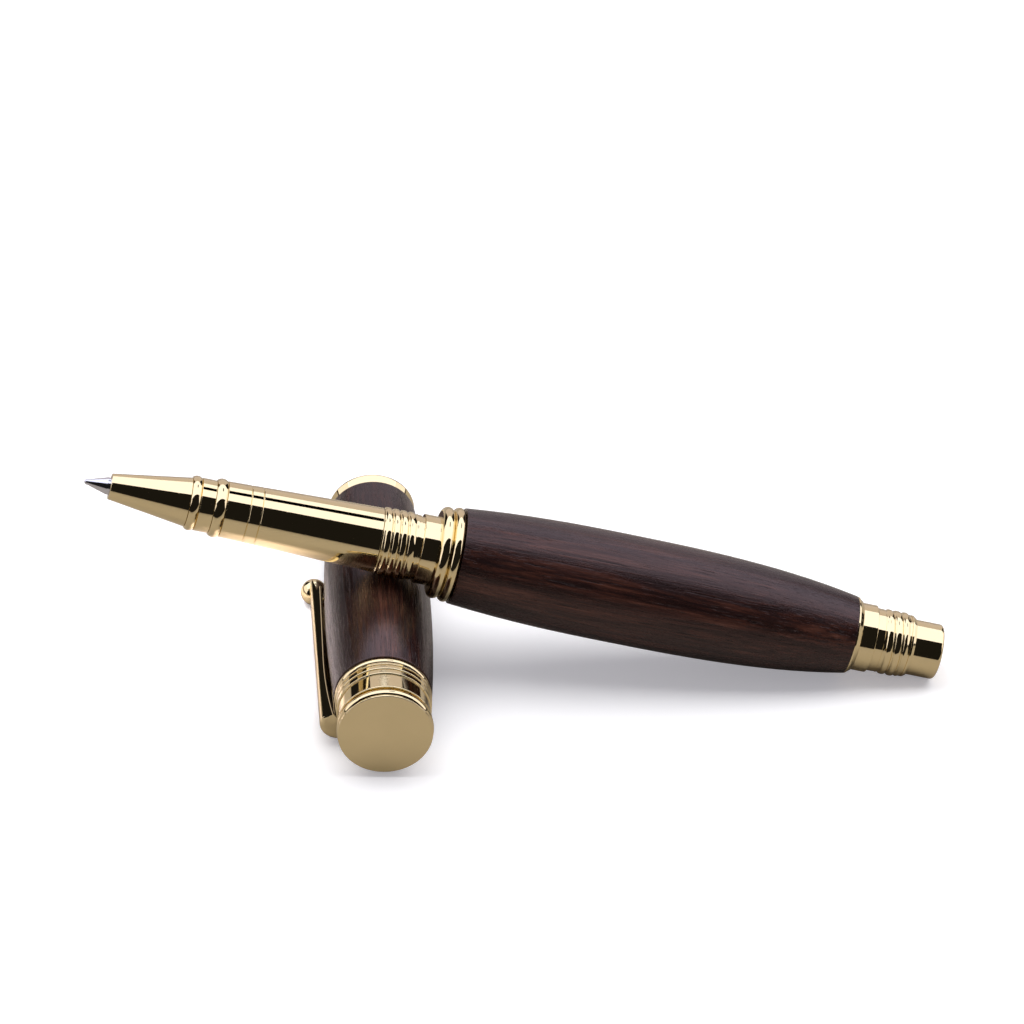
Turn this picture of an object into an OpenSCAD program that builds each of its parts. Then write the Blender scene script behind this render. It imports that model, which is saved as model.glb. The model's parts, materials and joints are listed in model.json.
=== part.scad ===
// Rollerball pen with wooden barrels and gold-plated fittings, cap off.
// The cap lies on a table along Y and the pen lies across it, tip raised, tail on the table.
// Units are millimetres. Origin: on the table, under the middle of the bounding box.
// Each turned piece is drawn along +Z: the pen from its writing tip, the cap from its finial face.

/* [Whole pen] */
// Writing tip to tail end
pen_length = 127.2; // [126.8:0.1:128.5]
// Finial face to cap mouth
cap_length = 55; // [54.6:0.1:56.5]

/* [Pen barrel] */
// Station where the wood begins, behind the centre band
barrel_start = 54.9; // [54.8:0.1:55.2]
// Station where the wood ends, at the tail ring
barrel_end = 113.85; // [113.6:0.05:114]
// Station of the widest part
barrel_belly = 78; // [72:0.5:84]
// Radius at the widest part
barrel_belly_radius = 8; // [7.6:0.05:8.4]
// Radius at the centre band
barrel_front_radius = 7; // [6.9:0.05:7.3]
// Radius at the tail ring
barrel_tail_radius = 5.7; // [5.65:0.05:6]

/* [Cap barrel] */
// Distance from the finial face to the wood
cap_wood_start = 9.05; // [8.9:0.05:9.2]
// Width of the plated band at the mouth
mouth_band_width = 2.05; // [1.8:0.05:2.6]
// Station of the widest part
cap_belly = 28; // [24:0.5:32]
// Radius at the widest part
cap_belly_radius = 7.75; // [7.5:0.05:8]
// Radius at the trim ring
cap_top_radius = 7.05; // [7:0.05:7.3]
// Radius of the wood at the mouth band
cap_mouth_radius = 6.38; // [6.3:0.02:6.6]

/* [Grip section] */
// Radius of the nose at its opening
nose_radius = 1.88; // [1.8:0.02:2]
// Radius of the grip behind the second bead
grip_front_radius = 4.07; // [4:0.01:4.15]
// Radius of the grip at the cap thread
grip_rear_radius = 4.72; // [4.6:0.01:4.75]

/* [Refill] */
// Radius of the ink tube
refill_radius = 3; // [2.8:0.02:3]
// Writing tip to the end of the ink tube
refill_length = 110.5; // [106:0.5:111]
// Radius of the rolling ball
ball_radius = 0.35; // [0.3:0.01:0.4]

/* [Clip] */
// Half width of the clip at its root
clip_root_half_width = 2.15; // [1.8:0.05:2.4]
// Half width of the clip at its ball
clip_tip_half_width = 2; // [1.95:0.05:2.15]
// Radius of the ball on the clip
clip_ball_radius = 1.95; // [1.8:0.05:1.95]
// How far the clip points below the horizontal
clip_droop = 33; // [20:1:33]

/* [Arrangement] */
// Pen station that lies over the cap's axis
cross_from_tip = 43.7; // [42:0.1:46]
// Cap station that the pen lies over
cross_from_finial = 28.9; // [27:0.1:31]
// Turn of the pen about the vertical
pen_yaw = -2.65; // [-6:0.05:2]

/* [Hidden] */

gold = [0.83, 0.69, 0.45];
wood = [0.24, 0.13, 0.12];
brass = [0.71, 0.6, 0.3];
steel = [0.72, 0.73, 0.75];
black_plastic = [0.06, 0.06, 0.07];
ink_blue = [0.05, 0.07, 0.3];

rest_gap = 0.05;
running_gap = 0.05;

// Pen stations, measured from the writing tip.
nose_start = 3.75;
nose_end = 15.3;
nose_end_radius = 3.6;
front_bead = 15.92;
front_bead_radius = 4;
front_bead_round = 0.66;
rear_bead = 19.58;
rear_bead_radius = 4.3;
rear_bead_round = 0.78;
collar_radius = 3.85;
grip_start = 20.3;
grip_end = 43.2;
grip_grooves = [23.84, 25.57];
groove_depth = 0.09;
groove_half_width = 0.13;

// Screw that holds the grip section in the thread coupler.
section_screw_radius = 3.8;
section_screw_end = 48.7;

// Cap thread, neck and centre band.
cap_thread_crests = [43.95, 45.1, 46.25, 47.4];
cap_thread_radius = 4.95;
thread_root_radius = 4.72;
thread_crest_round = 0.62;
last_crest_drop = 0.08;
neck_groove_start = 48.75;
neck_start = 49.2;
neck_radius = 5.05;
band_start = 51.55;
bead_one_round = 0.92;
bead_one_radius = 6.72;
bead_two_round = 0.8;
bead_two_radius = 6.92;
insert_radius = 4.2;
insert_start = 43.9;
insert_end = 50.6;
coupler_spigot_end = 61;

// Barrel tube and tail.
pen_tube_radius = 5.3;
tube_wall = 0.35;
pen_tube_bore = pen_tube_radius - tube_wall;
barrel_bore = 3.3;
tail_spigot_start = 106;
tail_ring_end = 114.7;
tail_ring_end_radius = 5.2;
tail_neck_radius = 4.4;
tail_band_radius = 4.94;
tail_step = 117;
tail_thread_start = 118.3;
tail_thread_crests = [118.95, 120.2, 121.45];
tail_thread_radius = 4.74;
tail_root_radius = 4.52;
tail_crest_round = 0.5;
tail_ring_line = 122.3;
tail_bushing_end = 122.9;
tail_radius = 4.05;
tail_edge_round = 0.5;
spring_seat = 119.4;

// Refill.
refill_tip_radius = 1.25;
refill_cone_end = 3.3;
refill_tip_end = 12;
holder_start = 8.95;
holder_radius = 1.93;
refill_shoulder = 16.3;
holder_end = 19;
refill_wall = 0.35;
ink_end = 95;
plug_start = 106.5;

// Cap fittings, measured from the finial face.
finial_radius = 6.8;
finial_bead_radius = 6.95;
finial_bead_round = 0.72;
finial_end = 1.9;
washer_radius = 6.2;
stud_radius = 3.5;
stud_pin_radius = 2;
stud_pin_start = 0.9;
stud_end = 6.9;
stud_bore = 1.6;
stud_bore_start = 2.4;
coupler_start = 2.2;
coupler_lip_radius = 6.82;
coupler_lip_end = 2.65;
coupler_band_radius = 6.62;
coupler_band_end = 5.4;
coupler_rings = [[5.41, 6.41, 6.8], [6.41, 7.35, 6.9]];
clip_ring_start = 7.35;
clip_ring_end = 7.85;
ring_radius = 6.97;
cap_spigot_end = 15;
cap_tube_radius = 5.75;
cap_tube_bore = cap_tube_radius - tube_wall;
mouth_band_radius = 6.42;
mouth_bore = 5.15;
mouth_sleeve_start = 46.5;
mouth_insert_end = 51.25;
mouth_insert_radius = 5.22;
mouth_lip_radius = 4.98;
mouth_bore_depth = 3.2;
mouth_thread_radius = 4.78;
mouth_thread_depth = 0.2;
mouth_thread_pitch = 1.15;
mouth_band_start = cap_length - mouth_band_width;

// Clip.
clip_root_radius = 7.02;
clip_length_end = 42.2;
clip_sheet = 0.4;
clip_crown_root = 10.25;
clip_crown_tip = 10.88;
crown_root_round = 2.45;
crown_tip_round = 2.2;
// Notch that leaves the clip's walls as two ears beside the ball, outward along X and along the cap on Y.
clip_notch = [[7.75, 40.1], [8.82, 38.8], [9.6, clip_length_end]];
clip_ball_centre = [10.45, 0, 41.8];

// Lean of the pen: it rests on the cap's belly and on the lower edge of its tail.
rest_radius = cap_belly_radius + cap_thread_radius + rest_gap;
lean_run = pen_length - tail_edge_round - cross_from_tip;
lean_level = cap_belly_radius - tail_edge_round - rest_gap;
first_lean = asin((lean_level + rest_radius - tail_radius + tail_edge_round) / lean_run);
lean_rise = lean_level + rest_radius / cos(first_lean) - (tail_radius - tail_edge_round) * cos(first_lean);
pen_lean = asin(lean_rise / lean_run);

// The pen's run along X, from its writing tip to the corner of its tail, centres the whole on X.
pen_run_x = cos(pen_yaw) * cos(pen_lean);
tail_reach = (pen_length - tail_edge_round) * pen_run_x
    + (tail_radius - tail_edge_round) * sqrt(1 - pow(pen_run_x, 2)) + tail_edge_round;
tip_reach = ball_radius * (1 - pen_run_x);
cap_x = cross_from_tip * pen_run_x - (tail_reach - tip_reach) / 2;
cap_y = -cap_length / 2;
cap_z = cap_belly_radius;
pen_tip = [
    cap_x - cross_from_tip * pen_run_x,
    cap_y + cross_from_finial - cross_from_tip * sin(pen_yaw) * cos(pen_lean),
    cap_z + rest_radius / cos(pen_lean) + cross_from_tip * sin(pen_lean)
];

curve_steps = 24;

// Outline of a bulged barrel: a power curve falls from the belly to each end.
function bulge(z0, z1, belly, r0, r1, r_belly, power0, power1) = [
    for (i = [0:curve_steps])
        let (z = z0 + (z1 - z0) * i / curve_steps)
        z < belly
            ? [r_belly - (r_belly - r0) * pow((belly - z) / (belly - z0), power0), z]
            : [r_belly - (r_belly - r1) * pow((z - belly) / (z1 - belly), power1), z]
];

// Moves a piece drawn from the writing tip along +Z to where the pen lies.
module place_pen() {
    translate(pen_tip)
        rotate([0, 90 + pen_lean, pen_yaw])
            children();
}

// Moves a piece drawn from the finial face along +Z to where the cap lies.
module place_cap() {
    translate([cap_x, cap_y, cap_z])
        rotate([-90, 0, 0])
            children();
}

// Turns a piece drawn with the clip along +X to the clip's own side of the cap.
module place_clip() {
    place_cap()
        rotate([0, 0, 180 - clip_droop])
            children();
}

module turned(outline) {
    rotate_extrude()
        polygon(outline);
}

module tube(start, end, outer, inner) {
    turned([[inner, start], [outer, start], [outer, end], [inner, end]]);
}

// Half disc of a bead, for an outline that is turned later.
module bead_outline(station, crest_radius, round_radius) {
    translate([crest_radius - round_radius, station])
        circle(r = round_radius);
}

module cap_barrel() {
    color(wood)
        place_cap()
            difference() {
                turned(concat(
                    [[0, cap_wood_start]],
                    bulge(cap_wood_start, mouth_band_start, cap_belly, cap_top_radius, cap_mouth_radius,
                        cap_belly_radius, 2, 2.2),
                    [[0, mouth_band_start]]
                ));
                translate([0, 0, cap_wood_start - 1])
                    cylinder(h = cap_length, r = cap_tube_radius);
            }
}

module cap_tube() {
    color(brass)
        place_cap()
            tube(cap_wood_start, mouth_band_start, cap_tube_radius, cap_tube_bore);
}

// Plated band with the sleeve that is pressed into the cap tube; a lip keeps the insert in the sleeve.
module cap_mouth_band() {
    edge = 0.3;
    color(gold)
        place_cap()
            rotate_extrude() {
                polygon([
                    [mouth_insert_radius, mouth_sleeve_start],
                    [cap_tube_bore, mouth_sleeve_start],
                    [cap_tube_bore, mouth_band_start],
                    [mouth_band_radius, mouth_band_start],
                    [mouth_band_radius, cap_length - edge],
                    [mouth_band_radius - edge, cap_length - edge],
                    [mouth_band_radius - edge, cap_length],
                    [mouth_bore, cap_length],
                    [mouth_bore, cap_length - mouth_bore_depth],
                    [mouth_lip_radius, cap_length - mouth_bore_depth],
                    [mouth_lip_radius, mouth_insert_end],
                    [mouth_insert_radius, mouth_insert_end]
                ]);
                translate([mouth_band_radius - edge, cap_length - edge])
                    circle(r = edge);
            }
}

// Threaded insert; its crests are rings that clear the section's thread roots.
module cap_mouth_insert() {
    threads = 4;
    color(black_plastic)
        place_cap()
            difference() {
                tube(mouth_sleeve_start, mouth_insert_end, mouth_insert_radius, mouth_thread_radius);
                for (i = [0:threads - 1])
                    let (z = mouth_sleeve_start + mouth_thread_pitch * (i + 0.75))
                    turned([
                        [mouth_thread_radius - 0.1, z - 0.35],
                        [mouth_thread_radius + mouth_thread_depth, z],
                        [mouth_thread_radius - 0.1, z + 0.35]
                    ]);
            }
}

// Outline of a low rounded ring, given its start, end and crest radius.
function ring_outline(ring) =
    let (start = ring[0], end = ring[1], crest = ring[2], edge = 0.09, fall = 0.05)
    [
        [crest - fall, start + edge],
        [crest, (start + end) / 2],
        [crest - fall, end - edge],
        [crest - fall - edge, end]
    ];

// Plated coupler: a lip, a plain band and two rings, with its spigot in the cap tube.
module cap_coupler() {
    lip_round = 0.15;
    waist = 0.05;
    color(gold)
        place_cap()
            difference() {
                turned([
                    [0, coupler_start],
                    [coupler_lip_radius - waist, coupler_start],
                    [coupler_lip_radius, coupler_start + lip_round],
                    [coupler_band_radius, coupler_lip_end],
                    [coupler_band_radius - waist, (coupler_lip_end + coupler_band_end) / 2],
                    [coupler_band_radius, coupler_band_end],
                    each ring_outline(coupler_rings[0]),
                    each ring_outline(coupler_rings[1]),
                    [cap_tube_bore, clip_ring_start],
                    [cap_tube_bore, cap_spigot_end],
                    [0, cap_spigot_end]
                ]);
                translate([0, 0, coupler_start - 1])
                    cylinder(h = cap_spigot_end, r = stud_radius);
            }
}

module cap_trim_ring() {
    half = (cap_wood_start - clip_ring_end) / 2;
    color(gold)
        place_cap()
            rotate_extrude() {
                polygon([
                    [cap_tube_bore, clip_ring_end],
                    [ring_radius - half + 0.03, clip_ring_end],
                    [ring_radius - half + 0.03, cap_wood_start],
                    [cap_tube_bore, cap_wood_start]
                ]);
                bead_outline(clip_ring_end + half, ring_radius + 0.03, half);
            }
}

module clip_ring() {
    color(gold)
        place_cap()
            tube(clip_ring_start, clip_ring_end, ring_radius - 0.02, cap_tube_bore);
}

// Side view of the clip, outward along X and along the cap on Y: its inner edge rises from the root.
module clip_side(inner_step, start) {
    rise_end = 22;
    inner_top = 8.2;
    outside = 13;
    steps = 8;
    curve = [
        for (i = [0:steps])
            let (z = start + (rise_end - start) * i / steps)
            let (to_top = (rise_end - z) / (rise_end - clip_ring_start))
            [inner_top - (inner_top - clip_root_radius) * pow(to_top, 2) - inner_step, z]
    ];
    notch_slope = (clip_notch[1][1] - clip_notch[0][1]) / (clip_notch[1][0] - clip_notch[0][0]);
    polygon(concat(
        curve,
        [clip_notch[0] - inner_step * [1, notch_slope], clip_notch[1], clip_notch[2]],
        [[outside, clip_length_end], [outside, start]]
    ));
}

// The clip's outer form, less a sheet thickness for its inner space: side view, taper and rounded crown.
module clip_form(sheet, start, inner_step) {
    root = clip_root_half_width - sheet;
    tip = clip_tip_half_width - sheet;
    depth = 6;
    reach = 14;
    overrun = 1;
    crown_run = clip_length_end - clip_ring_start;
    crown_rise = clip_crown_tip - crown_tip_round - clip_crown_root + crown_root_round;
    intersection() {
        rotate([90, 0, 0])
            linear_extrude(height = depth, center = true)
                clip_side(inner_step, start);
        rotate([0, -90, 180])
            linear_extrude(height = reach)
                polygon([[start, -root], [start, root], [clip_length_end, tip], [clip_length_end, -tip]]);
        translate([clip_crown_root - crown_root_round, 0, clip_ring_start])
            rotate([0, atan(crown_rise / crown_run), 0])
                translate([0, 0, -overrun])
                    cylinder(h = crown_run + 3 * overrun, r1 = crown_root_round - sheet,
                        r2 = crown_tip_round - sheet);
    }
}

// Sheet-metal channel, open towards the cap, closed by an end wall at its root.
module clip_arm() {
    color(gold)
        place_clip()
            difference() {
                clip_form(0, clip_ring_start, 0);
                clip_form(clip_sheet, clip_ring_start + 0.5, 1);
                translate(clip_ball_centre)
                    sphere(r = clip_ball_radius);
            }
}

module clip_ball() {
    color(gold)
        place_clip()
            translate(clip_ball_centre)
                sphere(r = clip_ball_radius);
}

// Flat disc with a bead behind it.
module finial() {
    color(gold)
        place_cap()
            difference() {
                rotate_extrude() {
                    polygon([
                        [0, 0],
                        [finial_radius - 0.12, 0],
                        [finial_radius, 0.12],
                        [finial_radius, 0.36],
                        [finial_radius - 0.2, 0.46],
                        [finial_bead_radius - finial_bead_round, 0.46],
                        [finial_bead_radius - finial_bead_round, finial_end],
                        [0, finial_end]
                    ]);
                    bead_outline(finial_end - finial_bead_round, finial_bead_radius, finial_bead_round);
                }
                translate([0, 0, stud_pin_start])
                    cylinder(h = finial_end, r = stud_pin_radius);
            }
}

// Threaded stud that ties the finial to the coupler, bored to clear the writing tip.
module finial_stud() {
    color(steel)
        place_cap()
            turned([
                [0, stud_pin_start],
                [stud_pin_radius, stud_pin_start],
                [stud_pin_radius, finial_end],
                [washer_radius, finial_end],
                [washer_radius, coupler_start],
                [stud_radius, coupler_start],
                [stud_radius, stud_end],
                [stud_bore, stud_end],
                [stud_bore, stud_bore_start],
                [0, stud_bore_start]
            ]);
}

module pen_barrel() {
    color(wood)
        place_pen()
            difference() {
                turned(concat(
                    [[0, barrel_start]],
                    bulge(barrel_start, barrel_end, barrel_belly, barrel_front_radius, barrel_tail_radius,
                        barrel_belly_radius, 2.35, 2.9),
                    [[0, barrel_end]]
                ));
                translate([0, 0, barrel_start - 1])
                    cylinder(h = pen_length, r = pen_tube_radius);
            }
}

module pen_tube() {
    color(brass)
        place_pen()
            tube(barrel_start, barrel_end, pen_tube_radius, pen_tube_bore);
}

// Carries the cap thread, the neck and the spigot pressed into the barrel tube.
module thread_coupler() {
    start = grip_end + rest_gap;
    last_crest = len(cap_thread_crests) - 1;
    color(gold)
        place_pen()
            difference() {
                rotate_extrude() {
                    polygon([
                        [0, start],
                        [thread_root_radius, start],
                        [thread_root_radius, neck_groove_start],
                        [thread_root_radius - 0.12, neck_groove_start],
                        [thread_root_radius - 0.12, neck_start],
                        [neck_radius - 0.08, neck_start],
                        [neck_radius, neck_start + 0.08],
                        [neck_radius, band_start],
                        [pen_tube_bore, band_start],
                        [pen_tube_bore, coupler_spigot_end],
                        [0, coupler_spigot_end]
                    ]);
                    for (i = [0:last_crest])
                        bead_outline(
                            cap_thread_crests[i],
                            cap_thread_radius - (i == last_crest ? last_crest_drop : 0),
                            thread_crest_round
                        );
                }
                translate([0, 0, start - 1])
                    cylinder(h = insert_end - start + 1, r = insert_radius);
                cylinder(h = pen_length, r = barrel_bore);
            }
}

module coupler_insert() {
    color(black_plastic)
        place_pen()
            tube(insert_start, insert_end, insert_radius, section_screw_radius + running_gap);
}

// Ring of two beads between the neck and the wood.
module centre_band() {
    bead_two = barrel_start - bead_two_round;
    color(gold)
        place_pen()
            difference() {
                rotate_extrude() {
                    polygon([
                        [pen_tube_bore, band_start],
                        [bead_one_radius - bead_one_round, band_start],
                        [bead_two_radius - bead_two_round + 0.1, barrel_start],
                        [pen_tube_bore, barrel_start]
                    ]);
                    bead_outline(band_start + bead_one_round, bead_one_radius, bead_one_round);
                    bead_outline(bead_two, bead_two_radius, bead_two_round);
                }
                cylinder(h = pen_length, r = pen_tube_bore);
            }
}

// The grip flares evenly from behind the second bead to the cap thread.
function grip_radius_at(z) =
    grip_front_radius + (grip_rear_radius - grip_front_radius) * (z - grip_start) / (grip_end - grip_start);

// Three points of a narrow V-groove turned in the grip.
function groove_outline(z) = [
    [grip_radius_at(z), z - groove_half_width],
    [grip_radius_at(z) - groove_depth, z],
    [grip_radius_at(z), z + groove_half_width]
];

// Nose, grip and the screw behind them, bored in steps for the refill.
module grip_section() {
    nose_edge = 0.12;
    color(gold)
        place_pen()
            difference() {
                rotate_extrude() {
                    polygon([
                        [0, nose_start],
                        [nose_radius - nose_edge, nose_start],
                        [nose_radius, nose_start + nose_edge],
                        [nose_end_radius, nose_end],
                        [collar_radius - 0.08, nose_end + 1.2],
                        [collar_radius, rear_bead - 0.7],
                        [grip_front_radius, grip_start],
                        for (z = grip_grooves)
                            each groove_outline(z),
                        [grip_rear_radius, grip_end],
                        [section_screw_radius, grip_end],
                        [section_screw_radius, section_screw_end],
                        [0, section_screw_end]
                    ]);
                    bead_outline(front_bead, front_bead_radius, front_bead_round);
                    bead_outline(rear_bead, rear_bead_radius, rear_bead_round);
                }
                cylinder(h = pen_length, r = refill_tip_radius + running_gap);
                translate([0, 0, holder_start - rest_gap])
                    cylinder(h = pen_length, r = holder_radius + running_gap);
                translate([0, 0, refill_shoulder - rest_gap])
                    cylinder(h = pen_length, r = refill_radius + running_gap);
            }
}

module tail_ring() {
    color(gold)
        place_pen()
            turned([
                [tail_neck_radius, barrel_end],
                [barrel_tail_radius, barrel_end],
                [barrel_tail_radius - 0.05, barrel_end + 0.2],
                [tail_ring_end_radius, tail_ring_end - 0.1],
                [tail_ring_end_radius - 0.1, tail_ring_end],
                [tail_neck_radius, tail_ring_end]
            ]);
}

// Tail fitting with the thread on which the cap is posted.
module tail_bushing() {
    color(gold)
        place_pen()
            difference() {
                rotate_extrude() {
                    polygon([
                        [0, tail_spigot_start],
                        [pen_tube_bore, tail_spigot_start],
                        [pen_tube_bore, barrel_end],
                        [tail_neck_radius, barrel_end],
                        [tail_neck_radius, tail_ring_end],
                        [tail_band_radius, tail_ring_end],
                        [tail_band_radius, tail_step],
                        [tail_root_radius + 0.07, tail_step + 0.05],
                        [tail_root_radius + 0.07, tail_thread_start - 0.1],
                        [tail_root_radius, tail_thread_start],
                        [tail_root_radius, tail_ring_line - 0.1],
                        [tail_root_radius - 0.12, tail_ring_line - 0.1],
                        [tail_root_radius - 0.12, tail_ring_line],
                        [tail_root_radius, tail_ring_line],
                        [tail_root_radius, tail_ring_line + 0.3],
                        [tail_root_radius - 0.25, tail_bushing_end],
                        [0, tail_bushing_end]
                    ]);
                    for (z = tail_thread_crests)
                        bead_outline(z, tail_thread_radius, tail_crest_round);
                }
                cylinder(h = pen_length, r = barrel_bore);
            }
}

// Closes the tail and seats the refill spring.
module tail_plug() {
    color(gold)
        place_pen()
            rotate_extrude()
                difference() {
                    union() {
                        polygon([
                            [0, spring_seat],
                            [barrel_bore, spring_seat],
                            [barrel_bore, tail_bushing_end],
                            [tail_radius, tail_bushing_end],
                            [tail_radius, pen_length - tail_edge_round],
                            [tail_radius - tail_edge_round, pen_length - tail_edge_round],
                            [tail_radius - tail_edge_round, pen_length],
                            [0, pen_length]
                        ]);
                        translate([tail_radius - tail_edge_round, pen_length - tail_edge_round])
                            circle(r = tail_edge_round);
                    }
                    translate([-1, 0])
                        square([1, pen_length + 1]);
                }
}

// Steel cone with the socket that holds the rolling ball.
module refill_tip() {
    rim = 0.22;
    color(steel)
        place_pen()
            difference() {
                turned([
                    [0, rim],
                    [ball_radius + 0.05, rim],
                    [refill_tip_radius - 0.1, refill_cone_end - 0.3],
                    [refill_tip_radius, refill_cone_end],
                    [refill_tip_radius, refill_tip_end],
                    [0, refill_tip_end]
                ]);
                translate([0, 0, ball_radius])
                    sphere(r = ball_radius + 0.02);
            }
}

module writing_ball() {
    color(steel)
        place_pen()
            translate([0, 0, ball_radius])
                sphere(r = ball_radius);
}

module tip_holder() {
    color(black_plastic)
        place_pen()
            turned([
                [refill_tip_radius, holder_start],
                [holder_radius, holder_start],
                [holder_radius, refill_shoulder],
                [refill_radius - refill_wall, refill_shoulder],
                [refill_radius - refill_wall, holder_end],
                [0, holder_end],
                [0, refill_tip_end],
                [refill_tip_radius, refill_tip_end]
            ]);
}

module refill_tube() {
    color(steel)
        place_pen()
            tube(refill_shoulder, refill_length, refill_radius, refill_radius - refill_wall);
}

module refill_ink() {
    color(ink_blue)
        place_pen()
            translate([0, 0, holder_end])
                cylinder(h = ink_end - holder_end, r = refill_radius - refill_wall);
}

module refill_plug() {
    color(black_plastic)
        place_pen()
            translate([0, 0, plug_start])
                cylinder(h = refill_length - plug_start, r = refill_radius - refill_wall);
}

// Square-wire coil that presses the refill forwards.
module refill_spring() {
    coils = 5;
    wire = 0.45;
    coil_radius = 2.85;
    start = refill_length + rest_gap;
    run = spring_seat - start - wire;
    sweep = 360 * coils * wire / run;
    twist = 360 * coils * (run + wire) / run;
    color(steel)
        place_pen()
            translate([0, 0, start])
                linear_extrude(height = spring_seat - start, twist = -twist, slices = 90)
                    polygon(concat(
                        [for (i = [0:6]) coil_radius * [cos(sweep * i / 6), sin(sweep * i / 6)]],
                        [for (i = [6:-1:0]) (coil_radius - wire) * [cos(sweep * i / 6), sin(sweep * i / 6)]]
                    ));
}

cap_barrel();
cap_tube();
cap_mouth_band();
cap_mouth_insert();
cap_coupler();
cap_trim_ring();
clip_ring();
clip_arm();
clip_ball();
finial();
finial_stud();
pen_barrel();
pen_tube();
thread_coupler();
coupler_insert();
centre_band();
grip_section();
tail_ring();
tail_bushing();
tail_plug();
refill_tip();
writing_ball();
tip_holder();
refill_tube();
refill_ink();
refill_plug();
refill_spring();
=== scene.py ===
"""Looks of a wooden rollerball pen and its cap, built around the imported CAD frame.

Turned pieces are drawn as outlines of (station, radius) in millimetres along the pen's or the cap's
centre line. Their ends, bores and main radii are measured on the CAD nodes that they replace, and the
finer details are steps from those.
"""

import json
import math

import bmesh
import bpy
from mathutils import Matrix, Vector

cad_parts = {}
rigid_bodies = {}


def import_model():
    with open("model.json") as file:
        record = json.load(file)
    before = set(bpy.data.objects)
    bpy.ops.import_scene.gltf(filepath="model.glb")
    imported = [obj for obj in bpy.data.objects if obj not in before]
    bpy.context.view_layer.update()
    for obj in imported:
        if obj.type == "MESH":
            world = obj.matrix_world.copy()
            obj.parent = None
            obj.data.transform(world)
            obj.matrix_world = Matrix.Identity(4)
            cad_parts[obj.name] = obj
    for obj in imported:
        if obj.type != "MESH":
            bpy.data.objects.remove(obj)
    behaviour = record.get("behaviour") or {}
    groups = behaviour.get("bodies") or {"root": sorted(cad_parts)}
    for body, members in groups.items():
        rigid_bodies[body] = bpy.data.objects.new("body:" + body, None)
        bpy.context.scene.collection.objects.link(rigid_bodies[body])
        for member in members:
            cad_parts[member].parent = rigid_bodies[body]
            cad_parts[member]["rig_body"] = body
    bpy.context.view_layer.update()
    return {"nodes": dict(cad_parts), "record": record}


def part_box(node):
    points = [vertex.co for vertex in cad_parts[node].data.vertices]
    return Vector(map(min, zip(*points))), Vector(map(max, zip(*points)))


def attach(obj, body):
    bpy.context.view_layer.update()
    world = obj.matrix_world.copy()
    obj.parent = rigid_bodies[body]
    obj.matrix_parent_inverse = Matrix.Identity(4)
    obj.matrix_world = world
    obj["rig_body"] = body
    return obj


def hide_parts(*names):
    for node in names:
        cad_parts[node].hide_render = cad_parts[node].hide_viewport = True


MM = 0.001

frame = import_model()


# ---------------------------------------------------------------- measuring the frame


class Axis:
    """Centre line of the turned pieces: stations run along it from its origin, in millimetres."""

    def __init__(self, origin, direction):
        self.origin = Vector(origin)
        self.direction = Vector(direction).normalized()

    def place(self, point):
        """(station, radius) of a point, in millimetres."""
        offset = Vector(point) - self.origin
        station = offset.dot(self.direction)
        return station / MM, (offset - station * self.direction).length / MM

    def point(self, station):
        """Point of the centre line at a station."""
        return self.origin + station * MM * self.direction

    def matrix(self, side=Vector((0, 0, 1))):
        """Puts local +Z along the axis and local +X as near as it can to side."""
        x = (side - side.dot(self.direction) * self.direction).normalized()
        y = self.direction.cross(x)
        turn = Matrix((x, y, self.direction)).transposed().to_4x4()
        return Matrix.Translation(self.origin) @ turn


class Span:
    """Start, end, smallest and largest radius of a CAD node along an axis, in millimetres."""

    def __init__(self, node, axis):
        self.places = [axis.place(v.co) for v in frame["nodes"][node].data.vertices]
        self.start = min(station for station, radius in self.places)
        self.end = max(station for station, radius in self.places)
        self.inner = min(radius for station, radius in self.places)
        self.radius = max(radius for station, radius in self.places)


def mount(name):
    """The mount of that name in the part's record."""
    return next(m for m in frame["record"]["mounts"] if m["name"] == name)


def pen_axis():
    """From the front of the writing ball to the tail's flat face."""
    tail = mount("tail_face")
    from_tail = Axis(tail["pos_m"], tail["axis"])
    ball = Span("writing_ball", from_tail)
    return Axis(from_tail.point(ball.start), tail["axis"])


def cap_axis():
    """From the finial's flat face to the mouth."""
    face = mount("finial_face")
    return Axis(face["pos_m"], -Vector(face["axis"]))


PEN = pen_axis()
CAP = cap_axis()


# ---------------------------------------------------------------- outlines


def rounded(corners, steps=6):
    """Points of an outline through (station, radius, fillet) corners.

    Each fillet is an arc of so many steps, and takes up less than half of the straight runs beside it.
    Each run gets a point near both ends, so that smooth shading stays flat along it.
    """
    nearly_straight = math.radians(89)
    most_of_run = 0.49
    runs = []
    corners = [c for c, before in zip(corners, [None] + corners) if not same_place(c, before)]
    for i, (z, r, fillet) in enumerate(corners):
        corner = Vector((z, r))
        back = Vector(corners[i - 1][:2]) - corner
        ahead = Vector(corners[(i + 1) % len(corners)][:2]) - corner
        half = back.angle(ahead) / 2
        if fillet <= 0 or i in (0, len(corners) - 1) or half > nearly_straight:
            runs.append([corner])
            continue
        reach = min(fillet / math.tan(half), most_of_run * back.length, most_of_run * ahead.length)
        radius = reach * math.tan(half)
        back.normalize()
        ahead.normalize()
        centre = corner + (back + ahead).normalized() * radius / math.sin(half)
        first = corner + back * reach - centre
        last = corner + ahead * reach - centre
        sweep = first.angle_signed(last)
        runs.append([centre + Matrix.Rotation(-sweep * k / steps, 2) @ first for k in range(steps + 1)])
    points = []
    for run in runs:
        if points:
            points += near_ends(points[-1], run[0])
        points += run
    return [(p.x, p.y) for p in points]


def same_place(corner, before):
    """Whether a corner repeats the one before it, if there is one."""
    tolerance = 1e-4
    return before is not None and math.dist(corner[:2], before[:2]) < tolerance


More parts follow.
